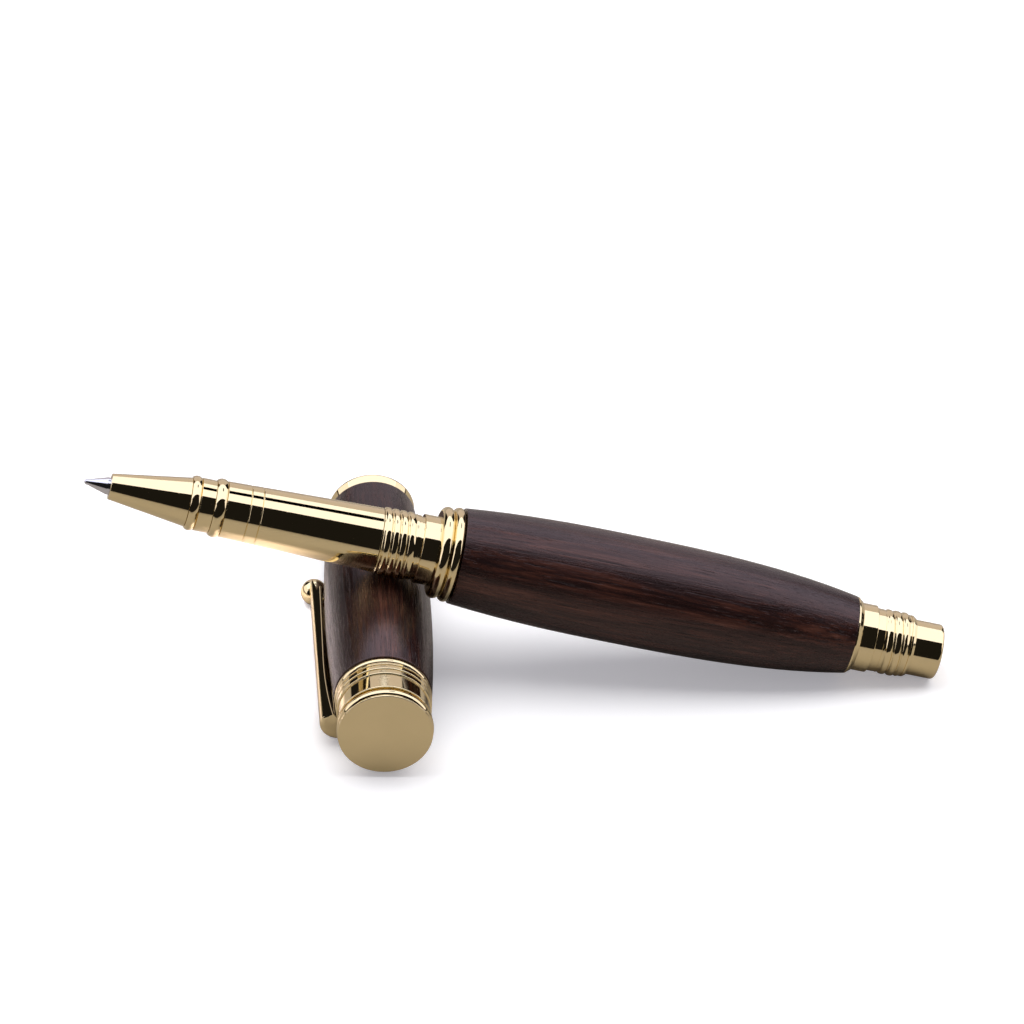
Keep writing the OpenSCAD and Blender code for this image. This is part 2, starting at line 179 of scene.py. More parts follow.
def near_ends(a, b):
    """Points just inside the ends of a straight run, where it is long enough for them."""
    margin = 0.04
    length = (b - a).length
    if length < 4 * margin:
        return []
    step = (b - a) * margin / length
    return [a + step, b - step]


def bead(middle, crest, rounding, first=-90, last=90):
    """Arc of a bead's outline: its crest is at the middle station, and its ends are angles in degrees."""
    steps = 14
    arc = []
    for k in range(steps + 1):
        t = math.radians(first + (last - first) * k / steps)
        arc.append((middle + rounding * math.sin(t), crest - rounding * (1 - math.cos(t))))
    return arc


def smooth_run(points):
    """The given points with others between them, on a smooth curve through them all."""
    parts = 4
    ends = [points[0]] + points + [points[-1]]
    out = []
    for a, b, c, d in zip(ends, ends[1:], ends[2:], ends[3:]):
        for k in range(parts):
            t = k / parts
            out.append(tuple(
                0.5 * (2 * q + (r - p) * t + (2 * p - 5 * q + 4 * r - s) * t ** 2
                       + (3 * q - p - 3 * r + s) * t ** 3)
                for p, q, r, s in zip(a, b, c, d)
            ))
    return out + [points[-1]]


class Thread:
    """Helical thread with broad, rounded crests that fades in and out at its ends."""

    def __init__(self, start, end, first, pitch, root, crest, half_width, run_in, run_out):
        self.start, self.end = start, end
        self.first, self.pitch = first, pitch
        self.root, self.crest, self.half_width = root, crest, half_width
        self.run_in, self.run_out = run_in, run_out

    def radius(self, station, angle):
        """Radius of the thread at a station and an angle round the axis."""
        turn = (station - self.first) / self.pitch - angle / math.tau
        offset = abs(turn - round(turn)) * self.pitch
        height = (self.crest - self.root) * (1 - min(offset / self.half_width, 1) ** 3)
        fade = smoothstep((station - self.start) / self.run_in)
        fade *= smoothstep((self.end - station) / self.run_out)
        return self.root + height * fade

    def rows(self):
        """Evenly spaced rows of an outline, for lathe() to turn."""
        spacing = 0.03
        count = round((self.end - self.start) / spacing)
        step = (self.end - self.start) / count
        return [(self.start + step * (i + 0.5), self.radius) for i in range(count)]


def smoothstep(t):
    """Eases from 0 to 1 as t does, and holds its value beyond them."""
    t = min(max(t, 0), 1)
    return t * t * (3 - 2 * t)


# ---------------------------------------------------------------- meshes


def lathe(name, rows, axis, closed=False, sides=128):
    """Turns an outline about an axis.

    A row's radius is a number, or a function of station and angle. An open outline starts and ends on
    the axis, and a closed one is a ring around a bore.
    """
    on_axis = 1e-6
    mesh_data = bmesh.new()
    rings = []
    for z, radius in rows:
        if not callable(radius) and radius < on_axis:
            rings.append([mesh_data.verts.new((0, 0, z * MM))])
            continue
        ring = []
        for k in range(sides):
            angle = math.tau * k / sides
            r = (radius(z, angle) if callable(radius) else radius) * MM
            ring.append(mesh_data.verts.new((r * math.cos(angle), r * math.sin(angle), z * MM)))
        rings.append(ring)
    pairs = list(zip(rings, rings[1:]))
    if closed:
        pairs.append((rings[-1], rings[0]))
    for low, high in pairs:
        for k in range(sides):
            n = (k + 1) % sides
            if len(low) == 1:
                mesh_data.faces.new((low[0], high[n], high[k]))
            elif len(high) == 1:
                mesh_data.faces.new((low[k], low[n], high[0]))
            else:
                mesh_data.faces.new((low[k], low[n], high[n], high[k]))
    return to_object(name, mesh_data, axis.matrix())


def to_object(name, mesh_data, matrix=Matrix.Identity(4)):
    """Object in the scene with that mesh, placed by the matrix."""
    bmesh.ops.recalc_face_normals(mesh_data, faces=mesh_data.faces)
    mesh = bpy.data.meshes.new(name)
    mesh_data.to_mesh(mesh)
    mesh_data.free()
    shade(mesh)
    piece = bpy.data.objects.new(name, mesh)
    piece.matrix_world = matrix
    bpy.context.scene.collection.objects.link(piece)
    return piece


def shade(mesh):
    """Smooth shading, apart from edges where the faces meet at a clear angle."""
    mesh.shade_smooth()
    mesh.set_sharp_from_angle(angle=math.radians(40))


def loft(name, sections, matrix):
    """Solid through sections of (x, y, z) points in millimetres, with flat ends."""
    mesh_data = bmesh.new()
    rings = [[mesh_data.verts.new(Vector(p) * MM) for p in section] for section in sections]
    for low, high in zip(rings, rings[1:]):
        for k in range(len(low)):
            n = (k + 1) % len(low)
            mesh_data.faces.new((low[k], low[n], high[n], high[k]))
    mesh_data.faces.new(rings[0])
    mesh_data.faces.new(rings[-1])
    return to_object(name, mesh_data, matrix)


def fit_out(piece, node, material):
    """Gives a piece its material, and lets it stand for a CAD node on that node's body."""
    piece.data.materials.clear()
    piece.data.materials.append(material)
    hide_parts(node)
    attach(piece, frame["nodes"][node]["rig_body"])


def gild(piece, node):
    """Fits out a gold-plated piece."""
    fit_out(piece, node, GOLD)


# ---------------------------------------------------------------- materials


class Shader:
    """A material's node tree, with short calls for the nodes that the recipes below use."""

    def __init__(self, name):
        self.material = bpy.data.materials.new(name)
        self.material.use_nodes = True
        self.tree = self.material.node_tree
        self.principled = self.tree.nodes["Principled BSDF"]
        self.coords = self.node("ShaderNodeTexCoord").outputs["Object"]

    def node(self, kind, **settings):
        """New node of a kind, with its settings."""
        made = self.tree.nodes.new(kind)
        for key, value in settings.items():
            setattr(made, key, value)
        return made

    def link(self, source, target):
        self.tree.links.new(source, target)

    def stretched(self, scale):
        """Object coordinates in metres times a scale for each direction."""
        mapping = self.node("ShaderNodeMapping")
        mapping.inputs["Scale"].default_value = scale
        self.link(self.coords, mapping.inputs["Vector"])
        return mapping.outputs["Vector"]

    def noise(self, vector, scale, detail, rough=0.55, twist=0):
        """Noise value with about so many patches to a metre."""
        made = self.node("ShaderNodeTexNoise")
        made.inputs["Scale"].default_value = scale
        made.inputs["Detail"].default_value = detail
        made.inputs["Roughness"].default_value = rough
        made.inputs["Distortion"].default_value = twist
        self.link(vector, made.inputs["Vector"])
        return made.outputs["Fac"]

    def ramp(self, value, stops):
        """Colour ramp with stops of (position, colour)."""
        made = self.node("ShaderNodeValToRGB")
        elements = made.color_ramp.elements
        while len(elements) < len(stops):
            elements.new(0.5)
        for element, (position, colour) in zip(elements, stops):
            element.position = position
            element.color = (*colour, 1)
        self.link(value, made.inputs["Fac"])
        return made.outputs["Color"]

    def scaled(self, value, low, high, from_low=0.3, from_high=0.7):
        """Maps a noise value to low..high."""
        made = self.node("ShaderNodeMapRange")
        made.inputs["From Min"].default_value = from_low
        made.inputs["From Max"].default_value = from_high
        made.inputs["To Min"].default_value = low
        made.inputs["To Max"].default_value = high
        self.link(value, made.inputs["Value"])
        return made.outputs["Result"]

    def mix(self, factor, a, b):
        """Colour between a and b. All three are numbers or colours, or outputs of nodes."""
        made = self.node("ShaderNodeMix", data_type="RGBA")
        sockets = {s.identifier: s for s in made.inputs}
        for source, target in ((factor, "Factor_Float"), (a, "A_Color"), (b, "B_Color")):
            if isinstance(source, bpy.types.NodeSocket):
                self.link(source, sockets[target])
            elif target == "Factor_Float":
                sockets[target].default_value = source
            else:
                sockets[target].default_value = (*source, 1)
        return next(s for s in made.outputs if s.identifier == "Result_Color")

    def bump(self, height, strength, distance):
        """Bump from a height value; a second call adds to the first."""
        made = self.node("ShaderNodeBump")
        made.inputs["Strength"].default_value = strength
        made.inputs["Distance"].default_value = distance
        self.link(height, made.inputs["Height"])
        before = self.principled.inputs["Normal"]
        if before.is_linked:
            self.link(before.links[0].from_socket, made.inputs["Normal"])
        self.link(made.outputs["Normal"], before)

    def set(self, **values):
        """Sets the shader's own sockets, or links them where the value is a node's output."""
        for name, value in values.items():
            socket = self.principled.inputs[name.replace("_", " ")]
            if isinstance(value, bpy.types.NodeSocket):
                self.link(value, socket)
            elif socket.type == "RGBA":
                socket.default_value = (*value, 1)
            else:
                socket.default_value = value


def polished_metal(name, colour, other_colour, smoothest, roughest, turning):
    """Bright metal: cloudy tone, polishing haze, fine turning lines and a few hairline scratches."""
    s = Shader(name)
    clouds = s.noise(s.coords, scale=180, detail=3)
    haze = s.noise(s.coords, scale=900, detail=5, rough=0.65)
    s.set(
        Base_Color=s.mix(s.scaled(clouds, 0, 1), colour, other_colour),
        Metallic=1.0,
        Roughness=s.scaled(haze, smoothest, roughest),
    )
    rings = s.noise(s.stretched((0.02, 0.02, 1)), scale=6000, detail=2)
    s.bump(rings, strength=turning, distance=0.02 * MM)
    hairs = s.noise(s.stretched((1, 0.05, 0.4)), scale=5200, detail=1, twist=1.5)
    s.bump(s.scaled(hairs, 0, 1, from_low=0.66, from_high=0.74), strength=0.05, distance=0.01 * MM)
    return s.material


def rosewood():
    """Dark purplish-brown wood: red-brown streaks along the barrel, dark patches, pores, satin lacquer."""
    s = Shader("rosewood")
    broad = s.noise(s.stretched((1, 1, 0.06)), scale=420, detail=6, rough=0.68, twist=0.8)
    fine = s.noise(s.stretched((1, 1, 0.035)), scale=2100, detail=5, rough=0.75)
    tone = s.mix(0.5, broad, fine)
    wood = s.ramp(tone, (
        (0.38, (0.0045, 0.0020, 0.0024)),
        (0.46, (0.0120, 0.0045, 0.0045)),
        (0.52, (0.0300, 0.0100, 0.0080)),
        (0.58, (0.0640, 0.0220, 0.0150)),
        (0.66, (0.1200, 0.0480, 0.0340)),
    ))
    patches = s.noise(s.stretched((1, 1, 0.2)), scale=95, detail=3)
    dark = (0.0085, 0.0040, 0.0044)
    wood = s.mix(s.scaled(patches, 0, 0.8, from_low=0.42, from_high=0.6), wood, dark)
    pores = s.noise(s.stretched((1, 1, 0.03)), scale=4600, detail=2)
    pits = s.scaled(pores, 0, 1, from_low=0.6, from_high=0.7)
    s.set(
        Base_Color=s.mix(pits, wood, (0.004, 0.0022, 0.0025)),
        Roughness=s.scaled(fine, 0.36, 0.16, from_low=0.36, from_high=0.64),
        IOR=1.55,
        Specular_Tint=(1.0, 0.74, 0.67),
        Coat_Weight=0.12,
        Coat_Roughness=0.12,
        Coat_IOR=1.35,
    )
    s.bump(pits, strength=0.6, distance=-0.04 * MM)
    s.bump(fine, strength=0.8, distance=0.07 * MM)
    s.bump(broad, strength=0.35, distance=0.12 * MM)
    return s.material


def moulded_plastic(name, colour, smoothest):
    """Moulded plastic with a fine pebbled skin."""
    s = Shader(name)
    pebbles = s.noise(s.coords, scale=2500, detail=3)
    paler = tuple(1.5 * part for part in colour)
    s.set(
        Base_Color=s.mix(s.scaled(pebbles, 0, 1), colour, paler),
        Roughness=s.scaled(pebbles, smoothest, smoothest + 0.15),
    )
    s.bump(pebbles, strength=0.15, distance=0.02 * MM)
    return s.material


def floor_material():
    """Matt sheet, brighter to the camera than in the pen's reflections, as in the photograph.

    It glows to the camera, and more so where it is too far from the pen for the panels to light it.
    """
    s = Shader("floor")
    clouds = s.noise(s.coords, scale=3, detail=2)
    to_camera = s.node("ShaderNodeLightPath").outputs["Is Camera Ray"]
    mirrored = s.mix(s.scaled(clouds, 0, 1), (0.39, 0.348, 0.32), (0.4, 0.357, 0.328))
    distance = s.node("ShaderNodeVectorMath", operation="LENGTH")
    s.link(s.coords, distance.inputs[0])
    further = s.scaled(distance.outputs["Value"], 1, 3.4, from_low=0.3, from_high=0.8)
    glow = s.node("ShaderNodeMath", operation="MULTIPLY")
    s.link(to_camera, glow.inputs[0])
    s.link(further, glow.inputs[1])
    s.set(
        Base_Color=s.mix(to_camera, mirrored, (0.86, 0.855, 0.86)),
        Roughness=0.75,
        Specular_IOR_Level=0.1,
        Emission_Color=(0.28, 0.275, 0.295),
        Emission_Strength=glow.outputs["Value"],
    )
    return s.material


GOLD = polished_metal(
    "gold_plating", (0.83, 0.69, 0.385), (0.87, 0.72, 0.405), smoothest=0.03, roughest=0.07, turning=0.02
)
STEEL = polished_metal(
    "bright_steel", (0.66, 0.66, 0.68), (0.72, 0.72, 0.73), smoothest=0.08, roughest=0.16, turning=0.06
)
BRASS = polished_metal(
    "tube_brass", (0.60, 0.46, 0.20), (0.52, 0.38, 0.15), smoothest=0.2, roughest=0.4, turning=0.1
)
WOOD = rosewood()
PLASTIC = moulded_plastic("black_plastic", (0.012, 0.012, 0.014), smoothest=0.35)
INK = moulded_plastic("ink", (0.008, 0.012, 0.09), smoothest=0.12)


# ---------------------------------------------------------------- cap


def make_finial():
    """Flat disc with a round bead behind it."""
    s = Span("finial", CAP)
    disc, disc_end, rounding = s.radius - 0.15, s.start + 0.36, 0.72
    rows = rounded([
        (s.start, 0, 0),
        (s.start, disc, 0.12),
        (disc_end, disc, 0.05),
        (disc_end + 0.06, disc - 0.3, 0),
    ])
    rows += bead(s.end - rounding, s.radius, rounding, first=-78)
    rows += [(s.end, 0)]
    gild(lathe("finial_cap", rows, CAP), "finial")


def low_ring(start, end, crest, base):
    """Corners of a low ring with rounded shoulders."""
    side, shoulder = 0.03, 0.3
    return [
        (start, base, 0),
        (start + side, crest, shoulder),
        (end - side, crest, shoulder),
        (end, base, 0),
    ]


def make_cap_coupler():
    """Lip, plain band and two low rings, with a spigot that goes through the clip's ring."""
    s = Span("cap_coupler", CAP)
    clip_ring = Span("clip_ring", CAP)
    spigot = clip_ring.inner
    band = s.radius - 0.28
    lip, lip_end = band + 0.2, s.start + 0.34
    rings = s.start + 3.22
    middle = (rings + clip_ring.start) / 2
    rows = rounded([
        (s.start, s.inner, 0),
        (s.start, band - 0.1, 0.05),
        (s.start, lip, 0.14),
        (lip_end, lip, 0.16),
        (lip_end + 0.12, band, 0.1),
        (rings, band, 0.04),
        *low_ring(rings, middle, s.radius - 0.08, band),
        *low_ring(middle, clip_ring.start, s.radius, band),
        (clip_ring.start, spigot, 0),
        (s.end, spigot, 0.1),
        (s.end, s.inner, 0),
    ])
    gild(lathe("coupler", rows, CAP, closed=True), "cap_coupler")


def make_clip_ring():
    """Flat ring with rounded edges."""
    s = Span("clip_ring", CAP)
    edge = 0.08
    rows = rounded([
        (s.start, s.inner, 0),
        (s.start, s.radius, edge),
        (s.end, s.radius, edge),
        (s.end, s.inner, 0),
    ])
    gild(lathe("clip_band", rows, CAP, closed=True), "clip_ring")


def make_trim_ring():
    """Full round bead against the wood."""
    s = Span("cap_trim_ring", CAP)
    half = (s.end - s.start) / 2
    rows = [(s.start, s.inner), *bead(s.start + half, s.radius, half), (s.end, s.inner)]
    gild(lathe("trim_ring", rows, CAP, closed=True), "cap_trim_ring")


def make_mouth_band():
    """Sleeve inside the tube, a lip in front of the threaded insert, and a band beside the wood.

    The band's slope makes it mirror the pale sheet rather than the dark bar.
    """
    s = Span("cap_mouth_band", CAP)
    wood_end = Span("cap_barrel", CAP).end
    tube = Span("cap_tube", CAP).inner
    insert = Span("cap_mouth_insert", CAP)
    slope = math.tan(math.radians(12.3))
    flank_start = wood_end + 0.15
    flank = s.radius - (s.end - flank_start) * slope
    recess = flank - 0.2
    lip_end = insert.end + 0.55
    mouth = s.inner + 0.17
    outer_edge, inner_edge = 0.02, 0.03
    rows = rounded([
        (s.start, insert.radius, 0),
        (s.start, tube, 0),
        (wood_end, tube, 0),
        (wood_end, recess, outer_edge),
        (flank_start, recess, outer_edge),
        (flank_start, flank, 0.05),
        (s.end, s.radius, 0.35),
        (s.end, mouth, 0.15),
        (lip_end, mouth, inner_edge),
        (lip_end, s.inner, inner_edge),
        (insert.end, s.inner, inner_edge),
        (insert.end, insert.radius, 0),
    ])
    gild(lathe("mouth_band", rows, CAP, closed=True), "cap_mouth_band")


def make_barrel(name, node, tube, axis):
    """Wood sleeve with softened ends: its outline runs smoothly through the rings of the CAD barrel."""
    bore = Span(tube, axis).radius
    outside = bore + 0.1
    widest = {}
    for station, radius in Span(node, axis).places:
        ring = round(station, 2)
        if radius > outside:
            widest[ring] = max(radius, widest.get(ring, 0))
    curve = smooth_run(sorted(widest.items()))
    (start, start_radius), (end, end_radius) = curve[0], curve[-1]
    edge = 0.06
    corner = 0.3 * edge
    rows = [
        (start, bore),
        (start, start_radius - 2 * edge),
        (start, start_radius - edge),
        (start + corner, start_radius - corner),
        *[(z, r) for z, r in curve if start + edge <= z <= end - edge],
        (end - corner, end_radius - corner),
        (end, end_radius - edge),
        (end, end_radius - 2 * edge),
        (end, bore),
    ]
    fit_out(lathe(name, rows, axis, closed=True), node, WOOD)


# ---------------------------------------------------------------- clip


CLIP_STEPS = 48


class ClipForm:
    """Outer form of the clip in millimetres. A pair holds a size at the root and at the far end.

    The root is folded over in a quarter round, and the inner edges dip towards the cap near it.
    """

    def __init__(self):
        span = Span("clip_arm", CAP)
        root_end = span.start + 0.1
        root = max(radius for station, radius in span.places if station < root_end)
        peak_station, peak = max(span.places, key=lambda place: place[1])
        slope = (peak - root) / (peak_station - span.start)
        self.start = span.start
        self.end = span.end
        self.fold = 0.95
        self.dip_end = span.start + 14.65
        self.crown = (root, root + slope * (span.end - span.start))
        self.curve = (2.45, 2.2)
        self.half = (2.15, 2.0)
        self.inner = (7.02, 8.2)

    def section(self, station, inset, deeper, edge_round):
        """Closed section as (outward, sideways, station) points.

        The crown and the sides come in by the inset, and the inner edges reach deeper towards the cap.
        """
        t = (station - self.start) / (self.end - self.start)
        before = max(1 - (station - self.start) / self.fold, 0)
        crown = self.crown[0] + (self.crown[1] - self.crown[0]) * t - inset
        crown -= self.fold * (1 - math.sqrt(1 - before ** 2))
        curve = self.curve[0] + (self.curve[1] - self.curve[0]) * t - inset
        half = self.half[0] + (self.half[1] - self.half[0]) * t - inset
        dip = max((self.dip_end - station) / (self.dip_end - self.start), 0)
        inner = self.inner[1] - (self.inner[1] - self.inner[0]) * dip ** 2 - deeper
        centre = crown - curve
        reach = math.asin(half / curve)
        top = [
            (centre + curve * math.cos(angle), curve * math.sin(angle), station)
            for angle in even_steps(-reach, reach, 20)
        ]
        edge = [
            (inner + edge_round * (1 - math.sin(angle)), half - edge_round * (1 - math.cos(angle)), station)
            for angle in even_steps(0, math.pi / 2, 5)
        ]
        other_edge = [(outward, -sideways, station) for outward, sideways, station in reversed(edge)]
        return [*other_edge, *top, *edge]


def even_steps(start, end, count):
    """Values from start to end, so many steps apart."""
    return [start + (end - start) * i / count for i in range(count + 1)]


def clip_side():
    """Direction from the cap's centre line to the clip."""
    low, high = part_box("clip_ball")
    outward = (low + high) / 2 - CAP.origin
    return (outward - outward.dot(CAP.direction) * CAP.direction).normalized()


def clip_bar(form, matrix):
    """Solid bar in the clip's outer form, with more sections where its root is folded."""
    fold_end = form.start + form.fold
    fold_count = 8
    stations = [form.start + form.fold * (i / fold_count) ** 2 for i in range(fold_count)]
    stations += even_steps(fold_end, form.end, CLIP_STEPS)
    sections = [form.section(station, inset=0, deeper=0, edge_round=0.22) for station in stations]
    return loft("clip", sections, matrix)


def clip_hollow(form, matrix):
    """What is cut out of the bar, so that a sheet of even thickness is left, open towards the cap."""
    sheet, end_wall, beyond = 0.4, 0.5, 0.5
    stations = even_steps(form.start + end_wall, form.end + beyond, CLIP_STEPS)
    sections = [form.section(station, inset=sheet, deeper=1, edge_round=0.05) for station in stations]
    return loft("clip_hollow", sections, matrix)


def clip_notch(form, matrix):
    """What is cut off the clip's far end, so that its sides taper to the ball."""
    below, half_width, beyond = 6.5, 3, 0.2
    outline = [
        (below, form.end - 0.6),
        (8.82, form.end - 3.4),
        (9.65, form.end + beyond),
        (below, form.end + beyond),
    ]
    sections = [
        [(outward, sideways, station) for outward, station in outline]
        for sideways in (-half_width, half_width)
    ]
    return loft("clip_notch", sections, matrix)


def cut_and_soften(bar, cutters):
    """Cuts the cutters out of the bar and rounds its edges."""
    for cutter in cutters:
        cut = bar.modifiers.new("cut", "BOOLEAN")
        cut.operation = "DIFFERENCE"
        cut.solver = "EXACT"
        cut.object = cutter
    soften = bar.modifiers.new("soften", "BEVEL")
    soften.width = 0.18 * MM
    soften.segments = 3
    soften.limit_method = "ANGLE"
    soften.angle_limit = math.radians(38)
    bpy.context.view_layer.update()
    shown = bar.evaluated_get(bpy.context.evaluated_depsgraph_get())
    finished = bpy.data.meshes.new_from_object(shown)
    bar.modifiers.clear()
    bar.data = finished
    shade(bar.data)
    for cutter in cutters:
        bpy.data.objects.remove(cutter)


def make_clip():
    """Sheet-metal channel with a closed root, cut from one solid bar."""
    form = ClipForm()
    matrix = CAP.matrix(side=clip_side())
    bar = clip_bar(form, matrix)
    cut_and_soften(bar, [clip_hollow(form, matrix), clip_notch(form, matrix)])
    gild(bar, "clip_arm")


# ---------------------------------------------------------------- pen


def make_grip():
    """Nose, two beads with a collar between them, grip with two fine grooves, and the screw behind it."""
    s = Span("grip_section", PEN)
    holder = Span("tip_holder", PEN)
    refill = Span("refill_tube", PEN)
    play = 0.05
    nose, nose_back, nose_end = 1.88, 3.58, 15.2
    front_bead, front_crest, front_rounding = 4.0, 15.92, 1.0
    collar, collar_start, collar_end = 3.85, 16.68, 18.74
    rear_bead, rear_crest, rear_rounding = 4.3, 19.58, 1.2
    front, grip_start = 4.07, 20.42
    rear, grip_end = s.radius, Span("thread_coupler", PEN).start - play
    screw, holder_bore, refill_bore = 3.8, 1.98, refill.radius + play
    first_groove, second_groove = 23.84, 25.57
    bead_foot = 40
    edge = 0.05

    def grip_radius(station):
        return front + (rear - front) * (station - grip_start) / (grip_end - grip_start)

    def groove(station):
        radius = grip_radius(station)
        half, depth = 0.1, 0.1
        return [
            (station - half, radius, 0.03),
            (station, radius - depth, 0.02),
            (station + half, radius, 0.03),
        ]

    rows = rounded([
        (s.start, s.inner, 0),
        (s.start, nose, 0.12),
        (nose_end, nose_back, 0.04),
        (nose_end + 0.03, nose_back - 0.12, 0),
    ])
    rows += bead(front_crest, front_bead, front_rounding, -bead_foot, bead_foot)
    rows += rounded([
        (collar_start - 0.03, collar - 0.22, 0),
        (collar_start, collar, edge),
        (collar_end, collar, edge),
        (collar_end + 0.03, collar - 0.12, 0),
    ])
    rows += bead(rear_crest, rear_bead, rear_rounding, -bead_foot, bead_foot)
    rows += rounded([
        (grip_start - 0.03, front - 0.22, 0),
        (grip_start, front, edge),
        *groove(first_groove),
        *groove(second_groove),
        (grip_end - 0.02, rear, 0.06),
        (grip_end, screw, 0.02),
        (s.end, screw, 0.15),
        (s.end, refill_bore, 0),
        (refill.start - play, refill_bore, 0),
        (refill.start - play, holder_bore, 0),
        (holder.start - play, holder_bore, 0),
        (holder.start - play, s.inner, 0),
    ])
    gild(lathe("grip", rows, PEN, closed=True), "grip_section")


def make_thread_coupler():
    """Cap thread as a helix, a narrow groove and the plain neck."""
    s = Span("thread_coupler", PEN)
    insert = Span("coupler_insert", PEN)
    band_start = Span("centre_band", PEN).start
    spigot = Span("pen_tube", PEN).inner
    neck = s.radius
    root, crest = neck - 0.33, neck - 0.1
    groove, groove_end = s.start + 5.5, s.start + 5.92
    bottom = root - 0.12
    thread = Thread(
        start=s.start + 0.06, end=groove - 0.05, first=s.start + 0.7, pitch=1.15,
        root=root, crest=crest, half_width=0.5, run_in=0.12, run_out=1.6,
    )
    front = rounded([
        (s.start, insert.radius, 0),
        (s.start, root - 0.04, 0.02),
        (s.start + 0.03, root, 0),
    ])
    back = rounded([
        (groove, root, 0.02),
        (groove, bottom, 0.03),
        (groove_end, bottom, 0.03),
        (groove_end + 0.03, neck, 0.1),
        (band_start, neck, 0),
        (band_start, spigot, 0),
        (s.end, spigot, 0),
        (s.end, s.inner, 0),
        (insert.end, s.inner, 0),
        (insert.end, insert.radius, 0),
    ])
    rows = front + thread.rows() + back
    gild(lathe("cap_thread", rows, PEN, closed=True), "thread_coupler")


def make_centre_band():
    """Two round beads against the wood."""
    s = Span("centre_band", PEN)
    front_crest, front_rounding, rear_rounding = s.radius - 0.2, 0.92, 0.8
    rows = [(s.start, s.inner)]
    rows += bead(s.start + front_rounding, front_crest, front_rounding, last=64)
    rows += bead(s.end - rear_rounding, s.radius, rear_rounding, first=-86)
    rows += [(s.end, s.inner)]
    gild(lathe("centre_beads", rows, PEN, closed=True), "centre_band")


def make_tail_ring():
    """Thin ring that slopes down from the wood to the tail."""
    s = Span("tail_ring", PEN)
    end_radius = s.radius - 0.5
    rows = rounded([
        (s.start, s.inner, 0),
        (s.start, s.radius - 0.02, 0.04),
        (s.start + 0.22, s.radius - 0.05, 0.1),
        (s.end - 0.1, end_radius + 0.03, 0.08),
        (s.end, end_radius - 0.06, 0.03),
        (s.end, s.inner, 0),
    ])
    gild(lathe("tail_trim", rows, PEN, closed=True), "tail_ring")


def make_tail_bushing():
    """Plain band, a step, the posting thread and a fine line behind it."""
    s = Span("tail_bushing", PEN)
    ring = Span("tail_ring", PEN)
    wood_end = Span("pen_barrel", PEN).end
    spigot = Span("pen_tube", PEN).inner
    band, root, crest = 4.94, 4.52, 4.74
    step = ring.end + 2.3
    thread_start, line = step + 1.3, step + 5.2
    bottom = root - 0.13
    edge = 0.02
    thread = Thread(
        start=thread_start, end=line - 0.2, first=thread_start + 0.65, pitch=1.25,
        root=root, crest=crest, half_width=0.54, run_in=0.5, run_out=0.6,
    )
    front = rounded([
        (s.start, s.inner, 0),
        (s.start, spigot, 0),
        (wood_end, spigot, 0),
        (wood_end, ring.inner, 0),
        (ring.end, ring.inner, 0),
        (ring.end, band, 0.04),
        (step, band, 0.1),
        (step + 0.04, root + 0.08, 0.03),
        (thread_start - 0.1, root + 0.07, 0.03),
        (thread_start - 0.05, root, 0),
    ])
    back = rounded([
        (line - 0.12, root, edge),
        (line - 0.1, bottom, edge),
        (line, bottom, edge),
        (line + 0.02, root, 0.05),
        (line + 0.3, root, 0.12),
        (s.end, root - 0.25, 0.05),
        (s.end, s.inner, 0),
    ])
    rows = front + thread.rows() + back
    gild(lathe("tail_thread", rows, PEN, closed=True), "tail_bushing")


def make_tail_plug():
    """Plain end cylinder with a rounded rim and a shank inside the bushing."""
    s = Span("tail_plug", PEN)
    shank = s.inner
    shoulder = Span("tail_bushing", PEN).end
    rows = rounded([
        (s.start, 0, 0),
        (s.start, shank, 0),
        (shoulder, shank, 0),
        (shoulder, s.radius, 0.05),
        (s.end, s.radius, 0.5),
        (s.end, 0, 0),
    ], steps=8)
    gild(lathe("tail_end", rows, PEN), "tail_plug")


def make_refill_tip():
    """Steel cone with a crimped rim round the writing ball and a shank behind it."""
    s = Span("refill_tip", PEN)
    rim, shank, cone_end = 0.4, s.radius, 3.3
    rows = rounded([
        (s.start, 0, 0),
        (s.start, rim - 0.03, 0.03),
        (s.start + 0.25, rim + 0.04, 0.04),
        (s.start + 0.35, rim + 0.02, 0.03),
        (cone_end - 0.3, shank - 0.1, 0.2),
        (cone_end, shank, 0.2),
        (s.end, shank, 0.05),
        (s.end, 0, 0),
    ])
    fit_out(lathe("nib_cone", rows, PEN, sides=64), "refill_tip", STEEL)


def dress_kept_nodes():
    """Gives the CAD nodes that stay on show their materials."""
    kept = {
        "clip_ball": GOLD,
        "writing_ball": STEEL,
        "finial_stud": STEEL,
        "refill_tube": STEEL,
        "refill_spring": STEEL,
        "cap_tube": BRASS,
        "pen_tube": BRASS,
        "cap_mouth_insert": PLASTIC,
        "coupler_insert": PLASTIC,
        "tip_holder": PLASTIC,
        "refill_plug": PLASTIC,
        "refill_ink": INK,
    }
    for node, material in kept.items():
        for slot in frame["nodes"][node].material_slots:
            slot.material = material


# ---------------------------------------------------------------- stage


def flat_sheet(name, corners, height):
    """Level face through (x, y) corners in metres."""
    mesh_data = bmesh.new()
    mesh_data.faces.new([mesh_data.verts.new((x, y, height)) for x, y in corners])
    return to_object(name, mesh_data)


def make_floor():
    """Sheet that reaches past the picture on every side."""
    reach = 3.0
    floor = flat_sheet("floor", [(-reach, -reach), (reach, -reach), (reach, reach), (-reach, reach)], 0)
    floor.data.materials.append(floor_material())


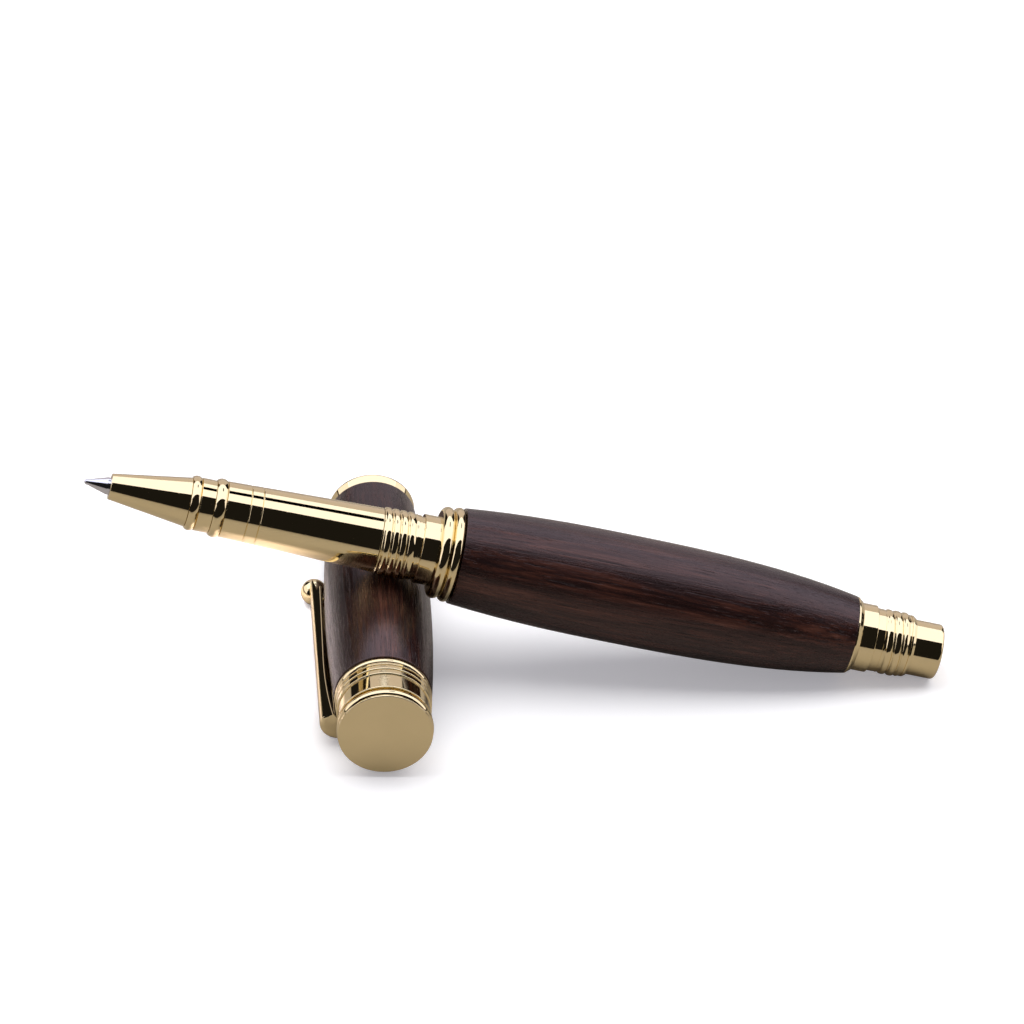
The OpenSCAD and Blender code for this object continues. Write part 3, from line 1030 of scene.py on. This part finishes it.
def soft_panel(name, centre, aim, width, depth, radiance, tint=(1, 1, 1), mirrored=True):
    """Rectangular studio panel.

    A mirrored one shows only in glossy surfaces. One that isn't mirrored only lights matt ones.
    """
    light = bpy.data.lights.new(name, "AREA")
    light.shape = "RECTANGLE"
    light.size = width
    light.size_y = depth
    light.energy = radiance * math.pi * width * depth
    light.color = tint
    panel = bpy.data.objects.new(name, light)
    panel.location = centre
    panel.rotation_euler = (Vector(aim) - Vector(centre)).to_track_quat("-Z", "Y").to_euler()
    panel.visible_glossy = mirrored
    panel.visible_diffuse = not mirrored
    panel.visible_camera = False
    bpy.context.scene.collection.objects.link(panel)
    return light


def make_dark_bar():
    """Black card under the overhead panel, which draws the dark line along the collar and the grip."""
    start, shoulder, tip = 0.06, 0.168, 0.2
    middle, half, height = 0.25, 0.09, 0.59
    corners = [
        (start, middle - half),
        (shoulder, middle - half),
        (tip, middle),
        (shoulder, middle + half),
        (start, middle + half),
    ]
    bar = flat_sheet("dark_bar", corners, height)
    s = Shader("dark_bar")
    s.set(Base_Color=(0, 0, 0), Roughness=1, Specular_IOR_Level=0)
    bar.data.materials.append(s.material)
    bar.visible_camera = False


def make_lights():
    """Three kinds of mirrored panel, and two that light the matt surfaces.

    Mirrored are a large one overhead, a dim one at the back and one at each end. Of the others, one is
    above and a small one brightens the sheet beside the clip.
    """
    front, back = -0.18, 0.75
    middle = (front + back) / 2
    soft_panel(
        "overhead", centre=(0, middle, 0.6), aim=(0, middle, 0),
        width=1.8, depth=back - front, radiance=1.52, tint=(0.96, 0.98, 1.22),
    )
    x, tall = 0.06, 1.12
    soft_panel(
        "low_back", centre=(x, 1.45, tall / 2), aim=(x, 0, tall / 2),
        width=1.44, depth=tall, radiance=0.66, tint=(1, 0.9, 0.99),
    )
    y, height = 0.2, 0.3
    for x in (-0.8, 0.8):
        soft_panel(
            "side", centre=(x, y, height), aim=(0, y, height),
            width=1.0, depth=0.5, radiance=1.3, tint=(1, 0.95, 1.1),
        )
    soft_panel(
        "top", centre=(0, 0.14, 0.8), aim=(0, 0, 0),
        width=1.8, depth=0.7, radiance=2.7, mirrored=False,
    )
    x, y = -0.039, 0.007
    accent = soft_panel(
        "accent", centre=(x, y, 0.014), aim=(x, y, 0),
        width=0.012, depth=0.038, radiance=3.2, tint=(0.96, 0.9, 1), mirrored=False,
    )
    accent.spread = math.radians(60)


def make_world():
    """Surround that is pale to the camera, a soft glow on matt surfaces, and dark in reflections."""
    world = bpy.data.worlds.new("studio")
    world.use_nodes = True
    tree = world.node_tree
    rays = tree.nodes.new("ShaderNodeLightPath")
    shown = tree.nodes["Background"]
    shown.inputs["Color"].default_value = (0.012, 0.011, 0.011, 1)
    colours = {
        "Is Diffuse Ray": (0.35, 0.35, 0.36, 1),
        "Is Camera Ray": (0.98, 0.98, 0.99, 1),
    }
    for ray, colour in colours.items():
        background = tree.nodes.new("ShaderNodeBackground")
        background.inputs["Color"].default_value = colour
        mix = tree.nodes.new("ShaderNodeMixShader")
        tree.links.new(rays.outputs[ray], mix.inputs["Fac"])
        tree.links.new(shown.outputs[0], mix.inputs[1])
        tree.links.new(background.outputs["Background"], mix.inputs[2])
        shown = mix
    tree.links.new(shown.outputs[0], tree.nodes["World Output"].inputs["Surface"])
    bpy.context.scene.world = world


def make_camera():
    """Long lens at the photograph's angle: turned, looking down, and rolled about its line of sight."""
    aim = Vector((-0.784, 5.575, 22.976)) * MM
    distance = 1012.28 * MM
    azimuth, elevation, roll = (math.radians(a) for a in (4.821, 35.505, 3.108))
    forward = Vector((
        math.sin(azimuth) * math.cos(elevation),
        math.cos(azimuth) * math.cos(elevation),
        -math.sin(elevation),
    ))
    right = Vector((math.cos(azimuth), -math.sin(azimuth), 0))
    up = right.cross(forward)
    image_right = right * math.cos(roll) + up * math.sin(roll)
    image_up = up * math.cos(roll) - right * math.sin(roll)
    data = bpy.data.cameras.new("camera")
    data.sensor_width = 36
    data.lens = 246.1
    data.clip_end = 20
    camera = bpy.data.objects.new("camera", data)
    turn = Matrix((image_right, image_up, -forward)).transposed().to_4x4()
    camera.matrix_world = Matrix.Translation(aim - distance * forward) @ turn
    bpy.context.scene.collection.objects.link(camera)
    bpy.context.scene.camera = camera


# ---------------------------------------------------------------- the whole scene

make_camera()
make_world()
make_floor()
make_lights()
make_dark_bar()
bpy.context.scene.view_settings.view_transform = "Standard"

make_finial()
make_cap_coupler()
make_clip_ring()
make_trim_ring()
make_mouth_band()
make_barrel("cap_wood", "cap_barrel", "cap_tube", CAP)
make_clip()

make_grip()
make_thread_coupler()
make_centre_band()
make_barrel("pen_wood", "pen_barrel", "pen_tube", PEN)
make_tail_ring()
make_tail_bushing()
make_tail_plug()
make_refill_tip()
dress_kept_nodes()
